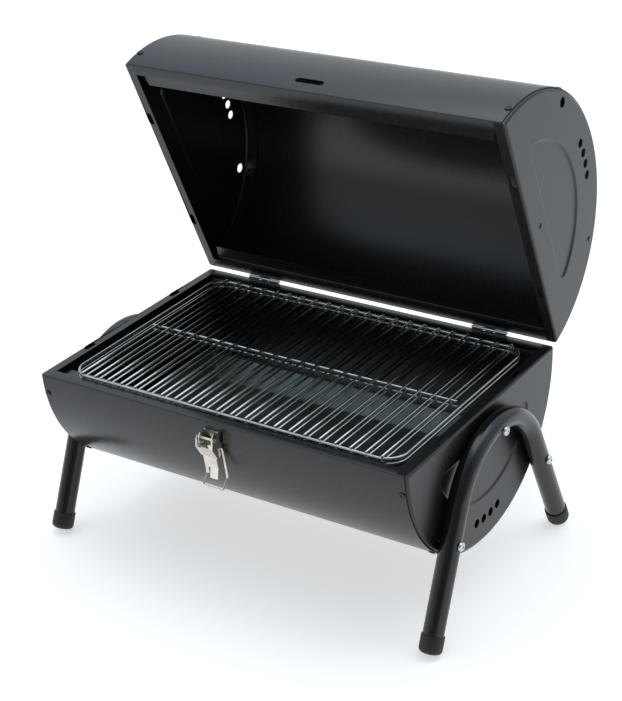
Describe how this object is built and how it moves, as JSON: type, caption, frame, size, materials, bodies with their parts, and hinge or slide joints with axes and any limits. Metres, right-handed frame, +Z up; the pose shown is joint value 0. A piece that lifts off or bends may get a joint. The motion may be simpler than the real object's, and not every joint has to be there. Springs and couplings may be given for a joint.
{
  "type": "charcoal grill",
  "caption": "Table-top barrel charcoal grill with a half-round hinged lid, wire cooking grids, a charcoal tray, a toggle latch and bent-tube legs.",
  "frame": {"origin": "centre of the box's bottom face, on the floor under the grill", "axes": "+X along the barrel towards its right end, +Y towards the hinges, +Z up"},
  "size_m": [0.5006, 0.411, 0.4969],
  "materials": {
    "black_paint": "heat-proof satin black enamel",
    "chrome": "bright plated wire",
    "nickel": "bright nickel plating",
    "zinc": "zinc plating",
    "galvanised": "galvanised sheet",
    "foot_plastic": "moulded black plastic"
  },
  "bodies": {
    "base": {"bowl_shell": "black_paint", "bowl_end_cap_left": "black_paint", "bowl_end_cap_right": "black_paint", "bowl_screw_rear_left": "zinc", "bowl_screw_front_left": "zinc", "bowl_screw_rear_right": "zinc", "bowl_screw_front_right": "zinc", "hinge_leaf_bowl_left": "zinc", "hinge_rivet_bowl_left_1": "zinc", "hinge_rivet_bowl_left_2": "zinc", "hinge_leaf_bowl_right": "zinc", "hinge_rivet_bowl_right_1": "zinc", "hinge_rivet_bowl_right_2": "zinc", "hinge_pin_left": "zinc", "hinge_pin_right": "zinc", "leg_frame_right": "black_paint", "foot_cap_front_right": "foot_plastic", "foot_cap_rear_right": "foot_plastic", "leg_screw_top_right": "zinc", "leg_nut_top_right": "zinc", "leg_screw_front_right": "zinc", "leg_nut_front_right": "zinc", "leg_screw_rear_right": "zinc", "leg_nut_rear_right": "zinc", "leg_frame_left": "black_paint", "foot_cap_front_left": "foot_plastic", "foot_cap_rear_left": "foot_plastic", "leg_screw_top_left": "zinc", "leg_nut_top_left": "zinc", "leg_screw_front_left": "zinc", "leg_nut_front_left": "zinc", "leg_screw_rear_left": "zinc", "leg_nut_rear_left": "zinc", "latch_bracket": "nickel", "latch_pin": "nickel", "latch_rivet_upper": "zinc", "latch_rivet_lower": "zinc"},
    "lever": {"latch_lever": "nickel"},
    "loop": {"latch_loop": "nickel"},
    "upper_grid": {"cooking_grid": "chrome"},
    "lower_grid": {"lower_grid": "chrome"},
    "tray": {"charcoal_tray": "galvanised"},
    "lid": {"lid_shell": "black_paint", "lid_end_cap_left": "black_paint", "lid_end_cap_right": "black_paint", "lid_screw_rear_left": "zinc", "lid_screw_front_left": "zinc", "lid_screw_rear_right": "zinc", "lid_screw_front_right": "zinc", "hinge_leaf_lid_left": "zinc", "hinge_rivet_lid_left_1": "zinc", "hinge_rivet_lid_left_2": "zinc", "hinge_leaf_lid_right": "zinc", "hinge_rivet_lid_right_1": "zinc", "hinge_rivet_lid_right_2": "zinc"}
  },
  "joints": [
    {"name": "lid_hinge", "type": "hinge", "parent": "base", "child": "lid", "pos_m": [0, 0.11078, 0.20588], "axis": [-1, 0, 0], "range_deg": [-68.2, 0]},
    {"name": "latch_lever", "type": "hinge", "parent": "base", "child": "lever", "pos_m": [0, -0.19872, 0.18978], "axis": [-1, 0, 0], "range_deg": [0, 120]},
    {"name": "latch_loop", "type": "hinge", "parent": "lever", "child": "loop", "pos_m": [0, -0.19232, 0.17818], "axis": [1, 0, 0], "range_deg": [-176.6, 0]},
    {"name": "tray_lift", "type": "slide", "parent": "base", "child": "tray", "axis": [0, 0, 1], "range_m": [0, 0.12]},
    {"name": "lower_grid_lift", "type": "slide", "parent": "tray", "child": "lower_grid", "axis": [0, 0, 1], "range_m": [0, 0.05]},
    {"name": "upper_grid_lift", "type": "slide", "parent": "lower_grid", "child": "upper_grid", "axis": [0, 0, 1], "range_m": [0, 0.05]}
  ]
}
